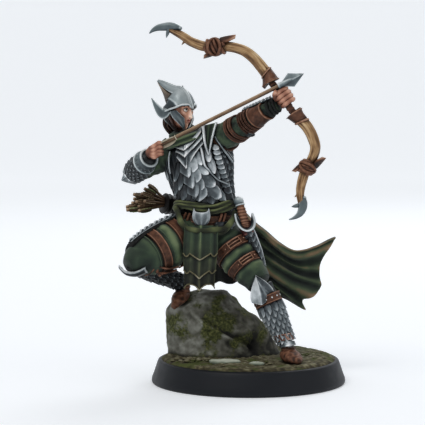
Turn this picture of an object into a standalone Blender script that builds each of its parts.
"""A painted miniature archer on a round base, modelled as the kit it is built from.

The figure is a set of cast resin pieces glued on short pins. It lunges with one foot on a boulder and
draws a bow. +Z is up and -Y is the front. The origin is the centre of the base's underside.
All sizes in the tables below are in millimetres, and heights are measured from the ground on the base.
The pieces are worked in millimetres too, and scaled to metres at the end.
"""

import math

import bmesh
import bpy
from mathutils import Matrix, Vector, noise

MM = 0.001

# Driving dimensions, in millimetres
BASE_DIAMETER = 25.0
BASE_HEIGHT = 3.0
BASE_BEVEL = 1.0
GROUND_THICKNESS = 0.35
GROUND_INSET = 0.3
PIN_DIAMETER = 0.8
PIN_CLEARANCE = 0.06
PEG_DIAMETER = 1.1
GLUE_LINE = 0.06
STRAP_THICKNESS = 0.28
STRAP_WIDTH = 0.95
PLATE_THICKNESS = 0.34
CLOTH_THICKNESS = 0.5
CLOAK_THICKNESS = 0.55
BOW_LIMB_RADIUS = 0.6
ARROW_RADIUS = 0.23
HEAD_HALF = (1.55, 1.9, 2.3)
BOULDER_HEIGHT = 8.2

GROUND_HEIGHT = BASE_HEIGHT + GROUND_THICKNESS
BASE_TOP_RADIUS = BASE_DIAMETER / 2 - BASE_BEVEL

# Where the body bends, as (x, y, height above the ground)
LEFT_HIP = (-3.3, -0.2, 15.4)
LEFT_KNEE = (1.4, -3.6, 9.7)
LEFT_ANKLE = (4.95, -5.0, 1.9)
RIGHT_HIP = (-7.6, -0.1, 15.7)
RIGHT_KNEE = (-14.7, -5.0, 12.5)
RIGHT_ANKLE = (-8.5, 0.9, 9.3)
RIGHT_SHOULDER = (-9.7, 0.4, 26.4)
RIGHT_ELBOW = (-14.9, 1.0, 23.5)
RIGHT_WRIST = (-12.6, -3.0, 25.7)
LEFT_SHOULDER = (-3.8, 0.0, 27.7)
LEFT_ELBOW = (-0.2, -3.2, 30.1)
LEFT_WRIST = (3.2, -5.8, 32.2)
FIST = (4.2, -6.5, 33.2)
HEAD_CENTRE = (-8.4, -0.4, 31.5)
NOCK = (-11.5, -4.0, 27.15)
ARROW_POINT = (6.6, -7.6, 36.15)

# The head looks along the arrow: turned from the front towards +X, and tipped up a little
HEAD_TURN = math.radians(48)
HEAD_TIP = math.radians(6)

PAINTS = {
    "black_plastic": ((0.02, 0.02, 0.022), 0.6, 0.0),
    "earth": ((0.13, 0.11, 0.06), 0.95, 0.0),
    "stone": ((0.16, 0.16, 0.14), 0.9, 0.0),
    "steel_wire": ((0.5, 0.5, 0.5), 0.35, 1.0),
    "green_cloth": ((0.06, 0.14, 0.07), 0.8, 0.0),
    "dark_cloth": ((0.02, 0.025, 0.022), 0.85, 0.0),
    "brown_leather": ((0.2, 0.08, 0.04), 0.6, 0.0),
    "silver_armour": ((0.42, 0.46, 0.48), 0.35, 0.6),
    "skin": ((0.5, 0.27, 0.18), 0.6, 0.0),
    "bow_wood": ((0.48, 0.3, 0.12), 0.5, 0.0),
    "dark_hair": ((0.05, 0.03, 0.02), 0.7, 0.0),
}

pieces = {}


def place(point):
    """A point of the tables, with its height taken from the base's underside."""
    return Vector((point[0], point[1], point[2] + GROUND_HEIGHT))


def paint_of(name):
    """The paint as a material, made once."""
    if name in bpy.data.materials:
        return bpy.data.materials[name]
    colour, roughness, metallic = PAINTS[name]
    material = bpy.data.materials.new(name)
    material.use_nodes = True
    shader = material.node_tree.nodes["Principled BSDF"]
    shader.inputs["Base Color"].default_value = (*colour, 1.0)
    shader.inputs["Roughness"].default_value = roughness
    shader.inputs["Metallic"].default_value = metallic
    return material


def face_out(bm):
    """Makes every face of a closed mesh point outwards."""
    bmesh.ops.recalc_face_normals(bm, faces=bm.faces)
    if bm.calc_volume(signed=True) < 0:
        bmesh.ops.reverse_faces(bm, faces=bm.faces)


def add_piece(name, bm, paint):
    """Turns a closed bmesh into the named object."""
    face_out(bm)
    mesh = bpy.data.meshes.new(name)
    bm.to_mesh(mesh)
    bm.free()
    mesh.materials.append(paint_of(paint))
    mesh.shade_smooth()
    mesh.set_sharp_from_angle(angle=math.radians(40))
    piece = bpy.data.objects.new(name, mesh)
    bpy.context.scene.collection.objects.link(piece)
    pieces[name] = piece
    return piece


def along(stations, share):
    """The station at this share of the way through a list, on a smooth curve through all of them."""
    spans = len(stations) - 1
    span = min(int(share * spans), spans - 1)
    t = share * spans - span
    near = [stations[max(0, min(spans, span + k))] for k in (-1, 0, 1, 2)]
    made = []
    for a, b, c, d in zip(*near):
        made.append(b + 0.5 * t * (c - a + t * (2 * a - 5 * b + 4 * c - d + t * (3 * (b - c) + d - a))))
    return made


def surface(stations, share, side, angle, grow=0.0):
    """A point on the skin of a limb. Each station is (x, y, height, half width, half depth)."""
    step = 0.01
    here = along(stations, share)
    ahead = Vector(along(stations, share + step)[:3])
    behind = Vector(along(stations, share - step)[:3])
    direction = (ahead - behind).normalized()
    across = (Vector(side) - direction * direction.dot(Vector(side))).normalized()
    outward = direction.cross(across)
    half_width = max(0.02, here[3]) + grow
    half_depth = max(0.02, here[4]) + grow
    return Vector(here[:3]) + across * half_width * math.cos(angle) + outward * half_depth * math.sin(angle)


def section(stations, share, side, sides, grow=0.0):
    """A ring of points round a limb."""
    return [place(surface(stations, share, side, math.tau * k / sides, grow)) for k in range(sides)]


def bridge(bm, rings, closed_ends=True):
    """Joins rings of the same count one after another, and caps the two ends."""
    made = [[bm.verts.new(point) for point in ring] for ring in rings]
    count = len(rings[0])
    for one, two in zip(made, made[1:]):
        for k in range(count):
            bm.faces.new((one[k], one[(k + 1) % count], two[(k + 1) % count], two[k]))
    if closed_ends:
        bm.faces.new(made[0][::-1])
        bm.faces.new(made[-1])
    else:
        for k in range(count):
            bm.faces.new((made[-1][k], made[-1][(k + 1) % count], made[0][(k + 1) % count], made[0][k]))
    return made


def limb(name, stations, paint, side=(1, 0, 0), sides=10, rings=8):
    """A solid whose oval section follows a smooth curve."""
    bm = bmesh.new()
    bridge(bm, [section(stations, k / (rings - 1), side, sides) for k in range(rings)])
    return add_piece(name, bm, paint)


def band(name, stations, start, end, paint, thickness=STRAP_THICKNESS, side=(1, 0, 0), sides=10):
    """A strap or ring round a limb, a glue line clear of it and fullest at its middle."""
    inside = []
    outside = []
    for k, fullness in enumerate((0.6, 1.0, 0.6)):
        share = start + (end - start) * k / 2
        inside.append(section(stations, share, side, sides, GLUE_LINE))
        outside.append(section(stations, share, side, sides, GLUE_LINE + thickness * fullness))
    bm = bmesh.new()
    bridge(bm, outside + inside[::-1], closed_ends=False)
    return add_piece(name, bm, paint)


def strap(name, stations, middle, width, paint, thickness=STRAP_THICKNESS, side=(1, 0, 0)):
    """A band of the given width, centred at this share of the limb."""
    spots = [Vector(along(stations, k / 24)[:3]) for k in range(25)]
    length = sum((two - one).length for one, two in zip(spots, spots[1:]))
    half = width / length / 2
    return band(name, stations, middle - half, middle + half, paint, thickness, side)


def shell(name, stations, span, angles, paint, thickness=PLATE_THICKNESS, side=(1, 0, 0), point=(0.0, 0.0)):
    """A curved plate on part of a limb. point draws its two ends out to a tip at the middle."""
    columns, rows = 7, 6
    grid = []
    for r in range(rows):
        row = []
        for c in range(columns):
            u = c / (columns - 1)
            tip = 1.0 - abs(2 * u - 1)
            start = span[0] - point[0] * tip
            end = span[1] + point[1] * tip
            angle = math.radians(angles[0] + (angles[1] - angles[0]) * u)
            share = start + (end - start) * r / (rows - 1)
            row.append(surface(stations, share, side, angle, GLUE_LINE + thickness / 2))
        grid.append(row)
    return panel(name, grid, thickness, paint)


def ribbon(name, stations, path, width, thickness, paint, side=(1, 0, 0)):
    """A flat strap laid on a limb along a path of (share, degrees round)."""
    rows = 12
    grid = []
    for r in range(rows):
        spots = []
        for nudge in (-0.02, 0.0, 0.02):
            share, degrees = along(path, min(1.0, max(0.0, r / (rows - 1) + nudge)))
            spots.append(surface(stations, share, side, math.radians(degrees), GLUE_LINE + thickness / 2))
        centre = Vector(along(stations, share)[:3])
        forward = (spots[2] - spots[0]).normalized()
        outward = (spots[1] - centre).normalized()
        across = forward.cross(outward).normalized() * width / 2
        grid.append([spots[1] - across, spots[1], spots[1] + across])
    return panel(name, grid, thickness, paint)


def sheet(strands, rows, columns, ripple=0.0, folds=0.0):
    """Points of a curved sheet through smooth strands, with folds that deepen along them."""
    grid = []
    for r in range(rows):
        share = r / (rows - 1)
        line = [Vector(along(strand, share)) for strand in strands]
        row = []
        for c in range(columns):
            u = c / (columns - 1)
            point = Vector(along(line, u))
            point.y += ripple * share * math.sin(math.tau * folds * u)
            row.append(point)
        grid.append(row)
    return grid


def panel(name, grid, thickness, paint):
    """A sheet of even thickness made from a grid of points."""
    rows, columns = len(grid), len(grid[0])

    def normal(r, c):
        down = grid[min(rows - 1, r + 1)][c] - grid[max(0, r - 1)][c]
        right = grid[r][min(columns - 1, c + 1)] - grid[r][max(0, c - 1)]
        return down.cross(right).normalized()

    bm = bmesh.new()
    skins = []
    for half in (thickness / 2, -thickness / 2):
        skin = []
        for r in range(rows):
            skin.append([bm.verts.new(place(grid[r][c] + normal(r, c) * half)) for c in range(columns)])
        skins.append(skin)
    for skin in skins:
        for r in range(rows - 1):
            for c in range(columns - 1):
                bm.faces.new((skin[r][c], skin[r][c + 1], skin[r + 1][c + 1], skin[r + 1][c]))
    rim = [(0, c) for c in range(columns)]
    rim += [(r, columns - 1) for r in range(1, rows)]
    rim += [(rows - 1, c) for c in range(columns - 2, -1, -1)]
    rim += [(r, 0) for r in range(rows - 2, 0, -1)]
    for one, two in zip(rim, rim[1:] + rim[:1]):
        front, back = skins
        corners = (front[one[0]][one[1]], front[two[0]][two[1]], back[two[0]][two[1]], back[one[0]][one[1]])
        bm.faces.new(corners)
    return add_piece(name, bm, paint)


def ball(name, centre, half_sizes, paint, turn=0.0, tip=0.0, squeeze=None, segments=14, rows=9):
    """An egg-shaped solid. squeeze changes a point of the unit ball before it is sized and turned."""
    bm = bmesh.new()
    bmesh.ops.create_uvsphere(bm, u_segments=segments, v_segments=rows, radius=1.0)
    spin = Matrix.Rotation(turn, 3, "Z") @ Matrix.Rotation(-tip, 3, "X")
    for vert in bm.verts:
        point = squeeze(vert.co.copy()) if squeeze else vert.co
        sized = Vector((point.x * half_sizes[0], point.y * half_sizes[1], point.z * half_sizes[2]))
        vert.co = place(Vector(centre) + spin @ sized)
    return add_piece(name, bm, paint)


def turned(name, profile, paint, segments=24, centre=(0.0, 0.0), bottom=0.0):
    """A solid of revolution about a vertical axis, from (radius, height) pairs above the underside."""
    rings = []
    for radius, height in profile:
        ring = []
        for k in range(segments):
            angle = math.tau * k / segments
            x = centre[0] + radius * math.cos(angle)
            y = centre[1] + radius * math.sin(angle)
            ring.append(Vector((x, y, bottom + height)))
        rings.append(ring)
    bm = bmesh.new()
    bridge(bm, rings)
    return add_piece(name, bm, paint)


def cutter_from(mesh, name, gap):
    """A hidden copy of a piece, grown by the gap, that cuts its seat in a neighbour."""
    bm = bmesh.new()
    bm.from_mesh(mesh)
    bm.normal_update()
    for vert in bm.verts:
        vert.co += vert.normal * gap * min(2.0, vert.calc_shell_factor())
    grown = bpy.data.meshes.new(name)
    bm.to_mesh(grown)
    bm.free()
    cutter = bpy.data.objects.new(name, grown)
    cutter.hide_render = True
    cutter.display_type = "WIRE"
    bpy.context.scene.collection.objects.link(cutter)
    return cutter


def peg(name, root, tip_point, diameter):
    """A hidden round peg from root to tip, which joins a piece and cuts its socket in another."""
    start, end = place(root), place(tip_point)
    bm = bmesh.new()
    bmesh.ops.create_cone(
        bm,
        cap_ends=True,
        segments=10,
        radius1=diameter / 2,
        radius2=diameter / 2,
        depth=(end - start).length,
    )
    turn = (end - start).to_track_quat("Z", "Y").to_matrix().to_4x4()
    bm.transform(Matrix.Translation((start + end) / 2) @ turn)
    face_out(bm)
    mesh = bpy.data.meshes.new(name)
    bm.to_mesh(mesh)
    bm.free()
    return mesh


def hidden(name, mesh):
    """Links a mesh as a cutter that isn't part of the model."""
    helper = bpy.data.objects.new(name, mesh)
    helper.hide_render = True
    helper.display_type = "WIRE"
    bpy.context.scene.collection.objects.link(helper)
    return helper


def boolean(piece, other, operation):
    """Adds a Boolean modifier with the exact solver."""
    modifier = piece.modifiers.new(f"{operation}_{other.name}", "BOOLEAN")
    modifier.operation = operation
    modifier.solver = "EXACT"
    modifier.object = other


def tidied(mesh, distance):
    """The mesh with its points this close made one, and only the largest of its bodies kept."""
    bm = bmesh.new()
    bm.from_mesh(mesh)
    bmesh.ops.remove_doubles(bm, verts=bm.verts, dist=distance)
    bmesh.ops.dissolve_degenerate(bm, edges=bm.edges, dist=distance)
    left = set(bm.faces)
    bodies = []
    while left:
        body = [left.pop()]
        for face in body:
            for edge in face.edges:
                for other in edge.link_faces:
                    if other in left:
                        left.discard(other)
                        body.append(other)
        bodies.append(body)
    bodies.sort(key=lambda body: sum(face.calc_area() for face in body))
    for body in bodies[:-1]:
        bmesh.ops.delete(bm, geom=body, context="FACES")
    return bm


def main_body_only(piece):
    """Applies the modifiers, and cleans away the slivers that a cut leaves."""
    graph = bpy.context.evaluated_depsgraph_get()
    mesh = bpy.data.meshes.new_from_object(piece.evaluated_get(graph))
    piece.modifiers.clear()
    for distance in (1e-3, 1e-4, 1e-6):
        bm = tidied(mesh, distance)
        if all(edge.is_manifold for edge in bm.edges):
            break
    bm.to_mesh(mesh)
    bm.free()
    piece.data = mesh


def seat(name, *neighbours):
    """Cuts the piece back from its neighbours by a glue line."""
    for other in neighbours:
        grown = cutter_from(pieces[other].data, f"cut_{name}_{other}", GLUE_LINE)
        boolean(pieces[name], grown, "DIFFERENCE")


def fuse(name, *others):
    """Makes the other pieces part of this one, as one casting."""
    for other in others:
        extra = pieces.pop(other)
        extra.hide_render = True
        extra.display_type = "WIRE"
        boolean(pieces[name], extra, "UNION")
    main_body_only(pieces[name])


def join_with_peg(name, into, root, tip_point, diameter=PEG_DIAMETER):
    """Gives a piece a cast peg, and its neighbour the socket that the peg is glued in."""
    made = peg(f"peg_{name}", root, tip_point, diameter)
    boolean(pieces[into], cutter_from(made, f"socket_{into}_{name}", PIN_CLEARANCE), "DIFFERENCE")
    boolean(pieces[name], hidden(f"peg_{name}", made), "UNION")


def steel_pin(name, foot, top, *bored):
    """A wire pin, and its hole in each piece that it passes through."""
    bm = bmesh.new()
    bm.from_mesh(peg(name, foot, top, PIN_DIAMETER))
    add_piece(name, bm, "steel_wire")
    for other in bored:
        grown = cutter_from(pieces[name].data, f"bore_{other}_{name}", PIN_CLEARANCE)
        boolean(pieces[other], grown, "DIFFERENCE")


def toward(one, two, distance):
    """The point this far from one, on the way to two."""
    start, end = Vector(one), Vector(two)
    return tuple(start + (end - start).normalized() * distance)


def mixed(one, two, share):
    """The point at this share of the way from one to two."""
    return tuple(Vector(one).lerp(Vector(two), share))


# The base, and the scene on it
def make_base():
    """A round plastic base with sloping sides and softened edges."""
    radius = BASE_DIAMETER / 2
    profile = [
        (radius - 0.15, 0.0),
        (radius, 0.2),
        (radius - 0.05, 0.6),
        (BASE_TOP_RADIUS + 0.15, BASE_HEIGHT - 0.25),
        (BASE_TOP_RADIUS, BASE_HEIGHT),
    ]
    turned("base_disc", profile, "black_plastic", segments=48)


def make_ground():
    """A skin of texture paste, thin at its rim."""
    rim = BASE_TOP_RADIUS - GROUND_INSET
    bottom = GLUE_LINE - GROUND_THICKNESS
    rings = [(rim, bottom), (rim, -0.15), (rim - 0.5, -0.03), (rim * 0.75, 0.0), (rim * 0.4, 0.0), (0.6, 0.0)]
    sides = 24
    made = []
    for k, (radius, height) in enumerate(rings):
        ring = []
        for s in range(sides):
            angle = math.tau * s / sides
            spot = Vector((radius * math.cos(angle), radius * math.sin(angle), 0.0))
            lift = 0.12 * noise.noise(spot * 0.7) if k > 1 else 0.0
            ring.append(place((spot.x, spot.y, height + lift)))
        made.append(ring)
    bm = bmesh.new()
    bridge(bm, made)
    add_piece("groundwork", bm, "earth")


def make_boulder():
    """The rock that the right foot stands on, higher at its left and sloping away to the right."""
    top = BOULDER_HEIGHT
    rings = [
        (-3.1, 2.5, GLUE_LINE - GROUND_THICKNESS, 7.5, 4.1),
        (-3.2, 2.5, 0.15, 7.3, 4.0),
        (-3.9, 2.4, top * 0.34, 6.9, 3.7),
        (-4.9, 2.3, top * 0.56, 6.0, 3.4),
        (-5.8, 2.2, top * 0.74, 4.9, 3.0),
        (-5.6, 2.4, top * 0.86, 3.9, 2.5),
        (-5.2, 2.6, top * 0.95, 2.6, 1.8),
        (-5.0, 2.7, top, 1.3, 0.9),
    ]
    sides = 20
    made = []
    for k, (x, y, height, across, deep) in enumerate(rings):
        ring = []
        for s in range(sides):
            angle = math.tau * s / sides
            spot = Vector((math.cos(angle), math.sin(angle), height * 0.3))
            bulge = 1.0 + 0.12 * noise.noise(spot * 1.6)
            ring.append(place((x + across * bulge * spot.x, y + deep * bulge * spot.y, height)))
        made.append(ring)
    bm = bmesh.new()
    bridge(bm, made)
    add_piece("boulder", bm, "stone")


def make_flagstone():
    """A flat chip of stone set in the ground at the front."""
    outline = [(-5.0, -5.2), (-4.2, -6.3), (-2.6, -6.7), (-1.3, -6.0), (-1.6, -5.0), (-3.2, -4.5)]
    bm = bmesh.new()
    rings = []
    for inset, height in ((0.0, GLUE_LINE - GROUND_THICKNESS), (0.0, 0.12), (0.12, 0.3)):
        centre = Vector((-3.0, -5.6))
        ring = []
        for x, y in outline:
            spot = Vector((x, y)).lerp(centre, inset)
            ring.append(place((spot.x, spot.y, height)))
        rings.append(ring)
    bridge(bm, rings)
    add_piece("flagstone", bm, "stone")


# The legs, listed from the hip down
LEFT_THIGH = [
    (*LEFT_HIP, 2.5, 2.5),
    (*mixed(LEFT_HIP, LEFT_KNEE, 0.35), 2.45, 2.4),
    (*mixed(LEFT_HIP, LEFT_KNEE, 0.7), 2.0, 2.0),
    (*mixed(LEFT_HIP, LEFT_KNEE, 0.98), 1.6, 1.7),
]
LEFT_SHIN = [
    (*mixed(LEFT_KNEE, LEFT_ANKLE, 0.03), 1.6, 1.6),
    (*mixed(LEFT_KNEE, LEFT_ANKLE, 0.35), 1.5, 1.6),
    (*mixed(LEFT_KNEE, LEFT_ANKLE, 0.7), 1.25, 1.3),
    (*mixed(LEFT_KNEE, LEFT_ANKLE, 1.0), 0.95, 1.0),
]
LEFT_KNEE_LINE = [
    (*mixed(LEFT_HIP, LEFT_KNEE, 0.78), 1.9, 1.85),
    (*LEFT_KNEE, 1.75, 1.8),
    (*mixed(LEFT_KNEE, LEFT_ANKLE, 0.18), 1.62, 1.68),
]
RIGHT_THIGH = [
    (*RIGHT_HIP, 2.7, 2.7),
    (*mixed(RIGHT_HIP, RIGHT_KNEE, 0.35), 2.85, 2.6),
    (*mixed(RIGHT_HIP, RIGHT_KNEE, 0.7), 2.55, 2.4),
    (*mixed(RIGHT_HIP, RIGHT_KNEE, 0.95), 1.9, 1.9),
    (*mixed(RIGHT_HIP, RIGHT_KNEE, 1.08), 1.0, 1.0),
]
RIGHT_SHIN = [
    (*mixed(RIGHT_KNEE, RIGHT_ANKLE, -0.04), 0.9, 0.9),
    (*mixed(RIGHT_KNEE, RIGHT_ANKLE, 0.1), 1.4, 1.5),
    (*mixed(RIGHT_KNEE, RIGHT_ANKLE, 0.4), 1.5, 1.55),
    (*mixed(RIGHT_KNEE, RIGHT_ANKLE, 0.75), 1.25, 1.3),
    (*RIGHT_ANKLE, 1.0, 1.05),
]
UP = (0, 0, 1)


def make_left_leg():
    """The straight leg: thigh with two straps, knee plate, scaled greave, ankle strap, ring and boot."""
    limb("left_thigh", LEFT_THIGH, "green_cloth")
    strap("left_thigh_strap_upper", LEFT_THIGH, 0.3, STRAP_WIDTH, "brown_leather")
    strap("left_thigh_strap_lower", LEFT_THIGH, 0.6, STRAP_WIDTH, "brown_leather")
    limb("left_greave", LEFT_SHIN, "silver_armour")
    shell("left_knee_plate", LEFT_KNEE_LINE, (0.3, 0.95), (20, 160), "silver_armour", point=(0.3, 0.0))
    strap("left_greave_strap", LEFT_SHIN, 0.27, STRAP_WIDTH, "brown_leather")
    strap("left_ankle_strap", LEFT_SHIN, 0.83, 0.6, "brown_leather", 0.2)
    strap("left_ankle_ring", LEFT_SHIN, 0.94, 0.7, "silver_armour", 0.22)
    x, y, height = LEFT_ANKLE
    foot = [
        (x - 0.5, y + 0.9, 0.7, 0.6, 0.6),
        (x - 0.1, y + 0.1, 0.8, 0.95, 0.9),
        (x + 0.5, y - 1.3, 0.7, 0.95, 0.75),
        (x + 1.3, y - 2.9, 0.4, 0.3, 0.35),
    ]
    limb("left_boot", foot, "brown_leather")
    limb("left_boot_shaft", [(x, y, height - 0.02, 0.9, 0.95), (x - 0.05, y, 0.6, 0.85, 0.9)], "brown_leather")
    fuse("left_boot", "left_boot_shaft")


def make_right_leg():
    """The bent leg: thigh with two straps, knee plate, greave folded back under it, and boot."""
    limb("right_thigh", RIGHT_THIGH, "green_cloth", UP, rings=10)
    strap("right_thigh_strap_inner", RIGHT_THIGH, 0.28, STRAP_WIDTH, "brown_leather", side=UP)
    strap("right_thigh_strap_outer", RIGHT_THIGH, 0.55, STRAP_WIDTH, "brown_leather", side=UP)
    limb("right_greave", RIGHT_SHIN, "silver_armour", UP)
    shell("right_knee_plate", RIGHT_SHIN, (0.06, 0.34), (95, 265), "silver_armour", side=UP)
    x, y, height = RIGHT_ANKLE
    foot = [
        (x + 0.2, y + 1.0, height - 1.7, 0.6, 0.6),
        (x, y + 0.2, height - 1.5, 0.95, 0.9),
        (x - 0.5, y - 1.4, height - 1.9, 0.95, 0.75),
        (x - 1.1, y - 2.9, height - 2.7, 0.35, 0.4),
    ]
    limb("right_boot", foot, "brown_leather")
    shaft = [(x, y, height - 0.1, 1.0, 1.05), (x, y, height - 1.5, 0.9, 0.9)]
    limb("right_boot_shaft", shaft, "brown_leather")
    fuse("right_boot", "right_boot_shaft")


# The trunk, listed from the top down
TORSO = [
    (-7.3, 0.1, 28.9, 1.3, 1.2),
    (-7.0, 0.1, 28.2, 3.1, 1.9),
    (-6.7, 0.1, 26.8, 4.2, 2.5),
    (-6.4, 0.0, 25.0, 4.35, 2.75),
    (-5.9, 0.0, 22.5, 3.9, 2.6),
    (-5.4, 0.1, 20.5, 3.5, 2.4),
    (-5.4, 0.2, 19.0, 3.55, 2.5),
]
HIPS = [
    (-5.4, 0.2, 18.94, 3.5, 2.45),
    (-5.4, 0.3, 17.5, 3.65, 2.7),
    (-5.4, 0.3, 16.0, 3.5, 2.7),
    (-5.3, 0.3, 14.4, 2.3, 2.1),
]
WAIST = [
    (-5.4, 0.15, 19.95, 3.62, 2.6),
    (-5.4, 0.2, 18.3, 3.72, 2.7),
]


def make_trunk():
    """Torso, hips, and the sash, belt and buckle round them."""
    limb("torso", TORSO, "silver_armour", sides=16, rings=12)
    limb("hips", HIPS, "dark_cloth", sides=16)
    band("waist_sash", WAIST, 0.05, 0.95, "green_cloth", 0.55, sides=16)
    band("hip_belt", HIPS, 0.28, 0.62, "brown_leather", 0.4, sides=16)
    shell("gorget", TORSO, (0.1, 0.3), (35, 145), "silver_armour", point=(0.0, 0.12))
    ribbon("baldric", TORSO, [(0.24, 78), (0.45, 55), (0.68, 25)], 0.5, 0.25, "silver_armour")
    outline = [(-1.0, 0.9), (-0.35, 0.55), (0.35, 0.55), (1.0, 0.9), (1.05, 0.0), (0.6, -0.75), (0.0, -1.15)]
    outline += [(-0.6, -0.75), (-1.05, 0.0)]
    rings = []
    for inset, depth in ((0.8, -3.1), (1.0, -3.3), (1.0, -3.5), (0.75, -3.75)):
        rings.append([place((-6.05 + x * inset, depth, 18.0 + z * inset)) for x, z in outline])
    bm = bmesh.new()
    bridge(bm, rings)
    add_piece("belt_buckle", bm, "silver_armour")


def make_skirts():
    """The tabard at the front, the plate over the right thigh and the cloth behind the legs."""
    left = [(-8.1, -3.6, 17.0), (-8.2, -4.5, 14.0), (-8.1, -4.9, 11.6), (-8.1, -4.6, 9.3)]
    middle = [(-6.1, -3.5, 17.0), (-6.2, -4.7, 14.0), (-6.3, -5.2, 11.5), (-6.3, -4.9, 9.1)]
    right = [(-4.0, -3.3, 17.0), (-4.1, -4.3, 14.0), (-4.3, -4.8, 11.6), (-4.5, -4.5, 9.3)]
    panel("front_tabard", sheet([left, middle, right], 9, 7), CLOTH_THICKNESS, "green_cloth")
    shell("right_hip_plate", RIGHT_THIGH, (0.08, 0.72), (-12, 75), "silver_armour", side=UP)
    left = [(-7.8, 2.0, 16.0), (-7.4, 2.6, 13.0), (-6.8, 2.3, 10.2)]
    middle = [(-5.2, 2.5, 16.0), (-4.6, 2.9, 12.8), (-4.2, 2.2, 9.8)]
    right = [(-2.6, 2.2, 16.0), (-2.0, 2.6, 13.0), (-1.6, 2.1, 10.2)]
    panel("back_skirt", sheet([left, middle, right], 8, 7), CLOTH_THICKNESS, "dark_cloth")


# The head
def jaw(point):
    """Narrows the lower half of the unit ball to a chin."""
    if point.z < 0:
        point.x *= 1 + 0.35 * point.z
        point.y = point.y * (1 + 0.25 * point.z) + 0.12 * point.z
    return point


def head_point(turn_degrees, height_share, grow):
    """A point on the skull: degrees round from the face towards the head's left, and height from -1 to 1."""
    angle = math.radians(turn_degrees)
    level = math.sqrt(max(0.0, 1 - height_share**2))
    unit = Vector((level * math.sin(angle), -level * math.cos(angle), height_share))
    shaped = jaw(unit.copy())
    point = Vector([part * half + u * grow for part, half, u in zip(shaped, HEAD_HALF, unit)])
    spin = Matrix.Rotation(HEAD_TURN, 3, "Z") @ Matrix.Rotation(-HEAD_TIP, 3, "X")
    return Vector(HEAD_CENTRE) + spin @ point


def make_head():
    """Head and neck in one, with the hair behind."""
    ball("head", HEAD_CENTRE, HEAD_HALF, "skin", HEAD_TURN, HEAD_TIP, jaw)
    neck = [(-8.3, 0.2, 31.0, 0.9, 1.0), (-8.0, 0.3, 29.6, 0.95, 1.0), (-7.5, 0.3, 28.4, 1.0, 1.0)]
    limb("neck", neck, "skin")
    fuse("head", "neck")
    hair = [(-9.5, 0.9, 31.6, 1.2, 0.6), (-9.7, 1.4, 30.2, 1.3, 0.7), (-9.6, 1.7, 28.9, 0.9, 0.5)]
    limb("hair", hair, "dark_hair", side=(0.7, 0.7, 0))


def helmet_rim(turn_degrees):
    """How low the cap reaches: to the brow in front, to the temples at the sides and to the nape behind."""
    away = abs(turn_degrees)
    if away < 60:
        return 0.3 - 0.1 * math.exp(-((away / 12) ** 2))
    if away < 110:
        return 0.3 - 0.27 * (away - 60) / 50
    return 0.03 - 0.4 * (away - 110) / 70


def make_helmet():
    """A steel cap with a swept crest and a wing at each side, and two cheek guards."""
    sides, rows = 18, 6
    outside = []
    inside = []
    for r in range(rows):
        for rings, grow in ((outside, 0.42), (inside, GLUE_LINE)):
            ring = []
            for k in range(sides):
                turn = 360 * k / sides - 180
                rim = helmet_rim(turn)
                height = rim + (0.985 - rim) * math.sin(math.pi / 2 * r / (rows - 1))
                ring.append(place(head_point(turn, height, grow)))
            rings.append(ring)
    bm = bmesh.new()
    bridge(bm, inside[::-1] + outside)
    add_piece("helmet", bm, "silver_armour")
    side = (math.cos(HEAD_TURN), math.sin(HEAD_TURN), 0)
    trims = {
        "crest": [
            (-8.8, 0.0, 32.6, 0.5, 1.4),
            (-9.6, 0.4, 33.4, 0.4, 1.1),
            (-10.6, 0.85, 34.5, 0.25, 0.6),
            (-11.65, 1.2, 35.4, 0.08, 0.12),
        ],
        "right_wing": [
            (*head_point(-80, 0.15, 0.1), 0.25, 0.8),
            (*head_point(-125, 0.15, 0.6), 0.22, 0.75),
            (-11.6, 0.6, 32.0, 0.15, 0.5),
            (-12.4, 0.9, 33.0, 0.06, 0.1),
        ],
        "left_wing": [
            (*head_point(80, 0.15, 0.1), 0.25, 0.8),
            (*head_point(125, 0.3, 0.6), 0.22, 0.75),
            (-9.0, 2.6, 33.3, 0.15, 0.5),
            (-8.8, 2.9, 34.4, 0.06, 0.1),
        ],
    }
    for name, stations in trims.items():
        limb(name, stations, "silver_armour", side, sides=8)
        boolean(pieces[name], cutter_from(pieces["head"].data, f"skull_{name}", GLUE_LINE), "DIFFERENCE")
        main_body_only(pieces[name])
    fuse("helmet", *trims)
    for name, sign in (("right_cheek_guard", -1), ("left_cheek_guard", 1)):
        grid = []
        for r in range(6):
            height = -0.03 - 0.75 * r / 5
            width = 26 * math.sin(math.pi * (0.25 + 0.68 * r / 5))
            row = [head_point(sign * (72 - 6 * r + width * (c / 4 - 0.5)), height, 0.25) for c in range(5)]
            grid.append(row)
        panel(name, grid, PLATE_THICKNESS * 0.8, "silver_armour")


def make_scarf():
    """A cowl rolled round the neck, lower at the front."""
    neck = [(-7.9, 0.2, 30.0, 1.35, 1.35), (-7.5, 0.1, 28.5, 2.2, 1.75), (-7.2, 0.0, 27.7, 3.0, 2.1)]
    band("scarf", neck, 0.08, 0.92, "green_cloth", 0.75, sides=14)


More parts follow.
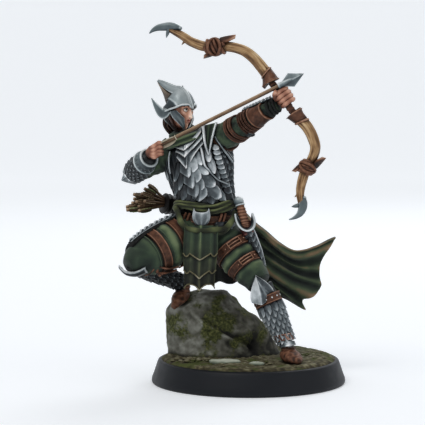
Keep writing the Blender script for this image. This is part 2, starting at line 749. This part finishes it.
# The arms
RIGHT_UPPER_ARM = [
    (*RIGHT_SHOULDER, 1.9, 1.9),
    (*mixed(RIGHT_SHOULDER, RIGHT_ELBOW, 0.45), 1.65, 1.6),
    (*mixed(RIGHT_SHOULDER, RIGHT_ELBOW, 0.92), 1.3, 1.3),
]
RIGHT_FOREARM = [
    (*mixed(RIGHT_ELBOW, RIGHT_WRIST, -0.05), 1.25, 1.25),
    (*mixed(RIGHT_ELBOW, RIGHT_WRIST, 0.3), 1.5, 1.45),
    (*mixed(RIGHT_ELBOW, RIGHT_WRIST, 0.7), 1.3, 1.25),
    (*mixed(RIGHT_ELBOW, RIGHT_WRIST, 1.0), 0.95, 0.95),
]
LEFT_UPPER_ARM = [
    (*LEFT_SHOULDER, 2.0, 1.9),
    (*mixed(LEFT_SHOULDER, LEFT_ELBOW, 0.5), 1.8, 1.7),
    (*mixed(LEFT_SHOULDER, LEFT_ELBOW, 0.99), 1.5, 1.5),
]
LEFT_FOREARM = [
    (*mixed(LEFT_ELBOW, LEFT_WRIST, 0.02), 1.5, 1.5),
    (*mixed(LEFT_ELBOW, LEFT_WRIST, 0.45), 1.4, 1.35),
    (*mixed(LEFT_ELBOW, LEFT_WRIST, 1.08), 0.9, 0.9),
]


def make_arms():
    """The drawing arm, folded back, and the bow arm, held out straight."""
    limb("right_upper_arm", RIGHT_UPPER_ARM, "green_cloth", UP)
    limb("right_vambrace", RIGHT_FOREARM, "silver_armour", UP)
    cone = [
        (*mixed(RIGHT_ELBOW, RIGHT_WRIST, 0.12), 1.45, 1.45),
        (*mixed(RIGHT_ELBOW, RIGHT_WRIST, -0.12), 1.2, 1.2),
        (-16.4, 1.6, 22.6, 0.1, 0.1),
    ]
    limb("right_elbow_cone", cone, "silver_armour", UP)
    band("right_wrist_cuff", RIGHT_FOREARM, 0.66, 0.95, "silver_armour", 0.4, UP)
    limb("left_upper_arm", LEFT_UPPER_ARM, "green_cloth", UP)
    limb("left_forearm", LEFT_FOREARM, "brown_leather", UP)


def make_hands():
    """The right hand hooks the arrow's nock. The left fist holds the bow."""
    palm = toward(RIGHT_WRIST, NOCK, 0.75)
    ball("right_hand", palm, (0.8, 0.7, 0.85), "skin")
    for k, drop in enumerate((0.35, -0.3, -0.85)):
        finger = [
            (palm[0], palm[1] - 0.3, palm[2] + drop * 0.6, 0.3, 0.3),
            (NOCK[0] + 0.1, NOCK[1] - 0.25, NOCK[2] + drop, 0.26, 0.26),
            (NOCK[0] + 0.6, NOCK[1] + 0.2, NOCK[2] + drop, 0.2, 0.2),
        ]
        limb(f"right_finger_{k}", finger, "skin", UP, sides=8, rings=5)
    fuse("right_hand", "right_finger_0", "right_finger_1", "right_finger_2")
    ball("left_hand", FIST, (1.25, 1.05, 1.2), "skin")


# The bow and the arrow. The bow's plane holds the line of the arrow, just behind it.
def bow_point(x, height, half_width=BOW_LIMB_RADIUS, half_depth=BOW_LIMB_RADIUS):
    """A station of the bow, whose plane turns away from the front as it nears the string's side."""
    slope = (ARROW_POINT[1] - NOCK[1]) / (ARROW_POINT[0] - NOCK[0])
    depth = NOCK[1] + slope * (x - NOCK[0]) + ARROW_RADIUS + BOW_LIMB_RADIUS
    return (x, depth, height, half_width, half_depth)


UPPER_LIMB = [
    bow_point(2.62, 35.1, 1.1, 1.0),
    bow_point(2.3, 35.9, 0.75, 0.7),
    bow_point(1.5, 37.0),
    bow_point(0.45, 38.2),
    bow_point(-0.9, 39.15),
    bow_point(-2.9, 39.6),
    bow_point(-5.3, 39.55),
    bow_point(-7.2, 40.15),
    bow_point(-8.5, 41.1, 0.5, 0.45),
]
LOWER_LIMB = [
    bow_point(5.45, 31.35, 1.1, 1.0),
    bow_point(6.1, 30.6, 0.75, 0.7),
    bow_point(7.1, 29.5),
    bow_point(7.85, 28.0),
    bow_point(8.05, 26.8),
    bow_point(7.6, 25.4),
    bow_point(6.85, 24.0),
    bow_point(6.4, 22.6),
    bow_point(6.25, 21.2, 0.5, 0.45),
]
GRIP = [
    bow_point(2.35, 35.7, 0.36, 0.36),
    bow_point(2.9, 34.8, 0.45, 0.45),
    bow_point(4.15, 33.1, 0.48, 0.48),
    bow_point(5.2, 31.6, 0.45, 0.45),
    bow_point(5.8, 30.95, 0.36, 0.36),
]
FACING_FRONT = (0, -1, 0)


def make_bow():
    """A grip, two curved limbs with flared collars, a binding on each and steel claws at the tips."""
    limb("bow_grip", GRIP, "brown_leather", FACING_FRONT, sides=10, rings=6)
    limb("upper_limb", UPPER_LIMB, "bow_wood", FACING_FRONT, sides=10, rings=17)
    limb("lower_limb", LOWER_LIMB, "bow_wood", FACING_FRONT, sides=10, rings=17)
    strap("upper_binding", UPPER_LIMB, 0.62, 1.5, "brown_leather", 0.35, FACING_FRONT)
    strap("lower_binding", LOWER_LIMB, 0.62, 1.5, "brown_leather", 0.35, FACING_FRONT)
    claw = [
        bow_point(-8.2, 40.9, 0.62, 0.6),
        bow_point(-9.2, 41.9, 0.45, 0.55),
        bow_point(-10.4, 42.0, 0.35, 0.45),
        bow_point(-11.6, 41.5, 0.2, 0.25),
        bow_point(-12.4, 40.9, 0.05, 0.06),
    ]
    limb("upper_claw", claw, "silver_armour", FACING_FRONT, sides=10, rings=10)
    claw = [
        bow_point(6.25, 21.5, 0.62, 0.6),
        bow_point(6.45, 20.5, 0.45, 0.55),
        bow_point(6.3, 19.5, 0.35, 0.45),
        bow_point(5.6, 18.7, 0.2, 0.25),
        bow_point(4.75, 18.25, 0.05, 0.06),
    ]
    limb("lower_claw", claw, "silver_armour", FACING_FRONT, sides=10, rings=10)


def make_arrow():
    """A wooden shaft with a steel broadhead and three vanes at the nock."""
    head_length = 3.4
    start = toward(NOCK, ARROW_POINT, -0.3)
    neck = toward(ARROW_POINT, NOCK, head_length - 0.5)
    radius = ARROW_RADIUS
    limb("arrow_shaft", [(*start, radius, radius), (*neck, radius, radius)], "bow_wood", UP, sides=10, rings=2)
    blade = [
        (*toward(ARROW_POINT, NOCK, head_length), 0.36, 0.36),
        (*toward(ARROW_POINT, NOCK, head_length * 0.66), 0.36, 0.34),
        (*toward(ARROW_POINT, NOCK, head_length * 0.55), 0.8, 0.26),
        (*toward(ARROW_POINT, NOCK, head_length * 0.3), 0.5, 0.18),
        (*ARROW_POINT, 0.05, 0.05),
    ]
    limb("arrow_head", blade, "silver_armour", UP, sides=8, rings=9)
    vanes = [(*toward(NOCK, ARROW_POINT, 0.9), radius, radius), (*toward(NOCK, ARROW_POINT, 3.2), radius, radius)]
    band("arrow_fletching", vanes, 0.0, 1.0, "bow_wood", 0.12, UP)
    for k, degrees in enumerate((60, 180, 300)):
        bm = bmesh.new()
        rings = []
        for share, reach in ((0.02, 0.2), (0.25, 0.62), (0.8, 0.55), (0.98, 0.18)):
            ring = []
            for turn, grow in ((-12, 0.08), (12, 0.08), (4, reach), (-4, reach)):
                ring.append(place(surface(vanes, share, UP, math.radians(degrees + turn), grow)))
            rings.append(ring)
        bridge(bm, rings)
        add_piece(f"vane_{k}", bm, "bow_wood")
    fuse("arrow_fletching", "vane_0", "vane_1", "vane_2")


# What hangs from the belt and the shoulders
QUIVER = [
    (-11.0, 3.0, 19.55, 1.25, 1.25),
    (-8.6, 4.3, 18.9, 1.3, 1.25),
    (-4.8, 5.1, 17.7, 1.25, 1.2),
    (-0.8, 4.7, 16.5, 0.8, 0.8),
]
SCABBARD = [
    (-0.45, -2.3, 17.2, 0.85, 0.6),
    (0.4, -2.5, 15.6, 0.75, 0.5),
    (1.3, -2.7, 13.8, 0.55, 0.4),
    (2.1, -2.9, 12.1, 0.12, 0.15),
]


def make_quiver():
    """A leather quiver slung level across the small of the back, with its arrows fanned at the mouth."""
    limb("quiver", QUIVER, "dark_cloth", UP, sides=12, rings=8)
    plug = [(-11.5, 2.7, 19.75, 1.0, 1.0), (-9.8, 3.9, 19.3, 0.9, 0.9)]
    limb("quiver_arrows", plug, "brown_leather", UP, sides=10, rings=2)
    ends = [
        (-13.0, 3.0, 22.0), (-13.8, 2.2, 21.7), (-14.4, 2.9, 21.2), (-14.9, 1.8, 20.8), (-15.3, 2.6, 20.2),
        (-15.8, 1.5, 19.7), (-15.9, 2.4, 19.1), (-16.1, 1.3, 18.7), (-15.2, 0.9, 19.9), (-13.9, 1.5, 20.9),
    ]
    made = []
    for k, end in enumerate(ends):
        root = Vector((-10.8, 3.2, 19.55)) + 0.14 * (Vector(end) - Vector((-14.8, 2.0, 20.4)))
        stick = [(*root, 0.24, 0.24), (*mixed(root, end, 0.55), 0.22, 0.22), (*end, 0.3, 0.3)]
        made.append(f"quiver_arrow_{k}")
        limb(made[-1], stick, "brown_leather", UP, sides=6, rings=3)
    fuse("quiver_arrows", *made)


def make_dagger():
    """A long knife at the left hip: ball pommel, wrapped grip and crescent guard, in its scabbard."""
    grip = [(-1.15, -2.1, 19.7, 0.4, 0.4), (-0.6, -2.2, 17.5, 0.42, 0.42)]
    limb("dagger_hilt", grip, "brown_leather", sides=10, rings=3)
    ball("pommel", (-1.3, -2.1, 20.0), (0.52, 0.5, 0.52), "silver_armour", segments=10, rows=8)
    guard = [
        (-1.7, -2.3, 17.9, 0.2, 0.3), (-1.1, -2.3, 17.35, 0.3, 0.42), (-0.2, -2.35, 17.25, 0.3, 0.42),
        (0.45, -2.3, 17.9, 0.2, 0.3),
    ]
    limb("guard", guard, "silver_armour", UP, sides=8, rings=7)
    fuse("dagger_hilt", "pommel", "guard")
    limb("scabbard", SCABBARD, "silver_armour", sides=10)


def make_cloak():
    """A cloak that falls from the shoulders and blows out past the left hip."""
    strands = [
        [(-8.8, 2.5, 27.2), (-8.0, 3.1, 23.0), (-6.6, 3.5, 18.6), (-3.2, 3.6, 13.4), (0.2, 3.4, 10.6), (3.4, 3.3, 8.7)],
        [(-7.8, 3.0, 27.8), (-6.8, 3.5, 23.0), (-5.2, 3.8, 18.6), (-0.8, 3.9, 12.6), (3.4, 3.6, 9.0), (7.6, 4.2, 5.4)],
        [(-6.6, 3.0, 28.1), (-5.6, 3.6, 23.2), (-3.8, 3.7, 18.6), (0.6, 3.4, 13.4), (5.4, 3.2, 9.8), (9.9, 4.5, 9.2)],
        [(-5.4, 2.8, 28.0), (-4.3, 3.3, 23.4), (-2.4, 3.2, 18.7), (1.6, 3.3, 14.6), (6.0, 4.0, 11.4), (10.3, 4.0, 11.6)],
        [(-4.4, 2.2, 27.6), (-3.1, 2.8, 23.6), (-0.9, 2.3, 19.0), (2.2, 2.3, 16.0), (6.3, 3.1, 13.3), (11.5, 4.2, 15.05)],
    ]
    panel("cloak", sheet(strands, 14, 13, 0.35, 3.0), CLOAK_THICKNESS, "green_cloth")


# Which neighbours each piece is cut to fit against, a glue line clear of them
FITS = {
    "groundwork": ("boulder", "flagstone"),
    "left_boot": ("groundwork", "left_greave"),
    "right_boot": ("boulder", "right_greave"),
    "left_greave": ("left_knee_plate",),
    "left_thigh": ("hips", "hip_belt", "left_knee_plate", "left_greave"),
    "right_thigh": ("hips", "hip_belt", "right_knee_plate", "front_tabard"),
    "right_greave": ("right_thigh", "right_thigh_strap_inner", "right_thigh_strap_outer", "right_knee_plate"),
    "right_thigh_strap_inner": ("right_hip_plate", "hips", "hip_belt"),
    "right_thigh_strap_outer": ("right_hip_plate",),
    "right_hip_plate": ("hip_belt", "hips"),
    "scarf": ("torso", "head", "right_cheek_guard", "left_cheek_guard"),
    "torso": ("head",),
    "gorget": ("torso", "scarf", "left_upper_arm", "right_upper_arm"),
    "baldric": ("gorget", "left_upper_arm", "waist_sash"),
    "right_upper_arm": ("torso", "scarf", "right_vambrace", "right_elbow_cone"),
    "left_upper_arm": ("torso", "scarf", "left_forearm"),
    "right_vambrace": ("right_elbow_cone",),
    "right_hand": ("arrow_shaft", "arrow_fletching", "right_vambrace"),
    "left_hand": ("bow_grip", "left_forearm", "arrow_shaft"),
    "hair": ("head", "helmet", "scarf", "torso"),
    "front_tabard": ("belt_buckle", "hip_belt", "hips"),
    "belt_buckle": ("hip_belt",),
    "back_skirt": ("hips", "left_thigh", "right_thigh", "cloak"),
    "cloak": ("torso", "hips", "hip_belt", "waist_sash", "scarf", "quiver", "left_upper_arm", "right_upper_arm"),
    "upper_limb": ("bow_grip",),
    "lower_limb": ("bow_grip",),
    "upper_claw": ("upper_limb",),
    "lower_claw": ("lower_limb",),
    "arrow_head": ("arrow_shaft",),
    "quiver": ("quiver_arrows",),
    "scabbard": ("dagger_hilt", "left_thigh", "left_thigh_strap_upper", "left_thigh_strap_lower"),
}


def add_pegs():
    """The cast pegs of the kit, each with its socket in the neighbour."""
    joints = [
        ("torso", "hips", (-5.4, 0.2, 19.8), (-5.4, 0.2, 17.8)),
        ("left_thigh", "hips", mixed(LEFT_HIP, LEFT_KNEE, 0.38), mixed(LEFT_HIP, LEFT_KNEE, 0.03)),
        ("right_thigh", "hips", mixed(RIGHT_HIP, RIGHT_KNEE, 0.32), mixed(RIGHT_HIP, RIGHT_KNEE, 0.04)),
        ("left_greave", "left_thigh", mixed(LEFT_KNEE, LEFT_ANKLE, 0.12), mixed(LEFT_KNEE, LEFT_HIP, 0.16)),
        ("right_upper_arm", "torso", mixed(RIGHT_SHOULDER, RIGHT_ELBOW, 0.5), mixed(RIGHT_SHOULDER, RIGHT_ELBOW, 0.05)),
        ("left_upper_arm", "torso", mixed(LEFT_SHOULDER, LEFT_ELBOW, 0.6), mixed(LEFT_SHOULDER, LEFT_ELBOW, -0.15)),
        ("left_forearm", "left_upper_arm", mixed(LEFT_ELBOW, LEFT_WRIST, 0.3), mixed(LEFT_ELBOW, LEFT_SHOULDER, 0.22)),
        ("right_vambrace", "right_upper_arm", mixed(RIGHT_ELBOW, RIGHT_WRIST, 0.4), mixed(RIGHT_ELBOW, RIGHT_SHOULDER, 0.3)),
    ]
    for name, into, root, tip_point in joints:
        join_with_peg(name, into, root, tip_point)
    join_with_peg("left_hand", "left_forearm", toward(LEFT_WRIST, FIST, 0.75), toward(LEFT_WRIST, LEFT_ELBOW, 0.6), 0.7)


def add_pins():
    """A steel wire through each sole: one into the base, the other into the boulder."""
    x, y, height = LEFT_ANKLE
    bored = ("base_disc", "groundwork", "left_boot", "left_greave")
    steel_pin("left_foot_pin", (x, y, -2.0), (x - 0.05, y + 0.05, height + 1.2), *bored)
    x, y, height = RIGHT_ANKLE
    steel_pin("right_foot_pin", (x, y, height - 4.2), (x, y, height + 0.5), "boulder", "right_boot", "right_greave")


def main():
    for old in list(bpy.data.objects):
        bpy.data.objects.remove(old)
    make_base()
    make_ground()
    make_boulder()
    make_flagstone()
    make_left_leg()
    make_right_leg()
    make_trunk()
    make_skirts()
    make_head()
    make_helmet()
    make_scarf()
    make_arms()
    make_hands()
    make_bow()
    make_arrow()
    make_quiver()
    make_dagger()
    make_cloak()
    for name, neighbours in FITS.items():
        seat(name, *neighbours)
    add_pegs()
    add_pins()
    for piece in pieces.values():
        main_body_only(piece)
        piece.data.transform(Matrix.Scale(MM, 4))
    for helper in list(bpy.data.objects):
        if helper.hide_render:
            bpy.data.objects.remove(helper)


main()
